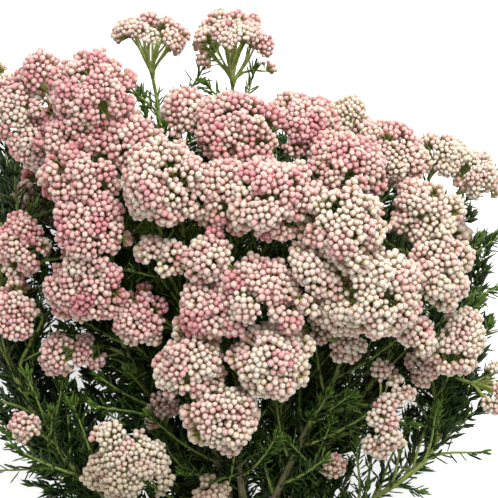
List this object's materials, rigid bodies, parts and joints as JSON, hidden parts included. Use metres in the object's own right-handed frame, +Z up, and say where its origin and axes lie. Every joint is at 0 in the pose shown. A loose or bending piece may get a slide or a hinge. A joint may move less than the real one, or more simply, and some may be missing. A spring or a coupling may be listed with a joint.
{
  "type": "flowering shrub stem",
  "caption": "Cut stem of pink rice flower lying down: a woody stem, needle-leaved branches and domed heads of round buds.",
  "frame": {"origin": "on the surface the stem lies on, under the middle of the box around it", "axes": "+Y from the cut end of the stem towards the flowers, +X to the right seen from above, +Z up"},
  "size_m": [0.3157, 0.563, 0.1872],
  "materials": {
    "bark": "dry, finely cracked bark, green-brown towards the branches",
    "leaf": "dull green needle leaves, lighter at the tips",
    "bud": "papery buds from cream to deep pink"
  },
  "bodies": {
    "root": {"flower_head_back_right": "bud", "flower_head_bottom_edge_right": "bud", "flower_head_bottom_left": "bud", "flower_head_bottom_middle": "bud", "flower_head_centre": "bud", "flower_head_centre_bottom": "bud", "flower_head_centre_left": "bud", "flower_head_centre_low": "bud", "flower_head_column_right": "bud", "flower_head_crown_left": "bud", "flower_head_crown_middle": "bud", "flower_head_crown_right": "bud", "flower_head_deep_left": "bud", "flower_head_edge_left": "bud", "flower_head_edge_right": "bud", "flower_head_edge_upper_right": "bud", "flower_head_front_lower_right": "bud", "flower_head_front_middle": "bud", "flower_head_front_right": "bud", "flower_head_front_upper_left": "bud", "flower_head_inner_left": "bud", "flower_head_inner_right": "bud", "flower_head_left_edge_lower": "bud", "flower_head_left_edge_middle": "bud", "flower_head_left_lower": "bud", "flower_head_left_middle": "bud", "flower_head_right_lower": "bud", "flower_head_right_middle": "bud", "flower_head_right_upper": "bud", "flower_head_shoulder_right": "bud", "flower_head_small_left": "bud", "flower_head_small_right": "bud", "flower_head_sparse_left": "bud", "flower_head_sprig_left": "bud", "flower_head_top_left": "bud", "flower_head_top_middle": "bud", "flower_head_under_edge_left": "bud", "flower_head_under_edge_right": "bud", "flower_head_under_lower_left": "bud", "flower_head_under_lower_right": "bud", "flower_head_under_top_left": "bud", "flower_head_under_top_middle": "bud", "flower_head_under_top_right": "bud", "flower_head_under_upper_left": "bud", "flower_head_under_upper_right": "bud", "flower_head_upper_left": "bud", "flower_head_upper_right": "bud", "leafy_branch_centre_up": "leaf", "leafy_branch_front_left": "leaf", "leafy_branch_front_mid": "leaf", "leafy_branch_front_right": "leaf", "leafy_branch_left_low": "leaf", "leafy_branch_left_mid": "leaf", "leafy_branch_left_up": "leaf", "leafy_branch_right_low": "leaf", "leafy_branch_right_mid": "leaf", "leafy_branch_right_up": "leaf", "leafy_branch_under_left": "leaf", "leafy_branch_under_right": "leaf", "main_stem": "bark"}
  },
  "joints": []
}
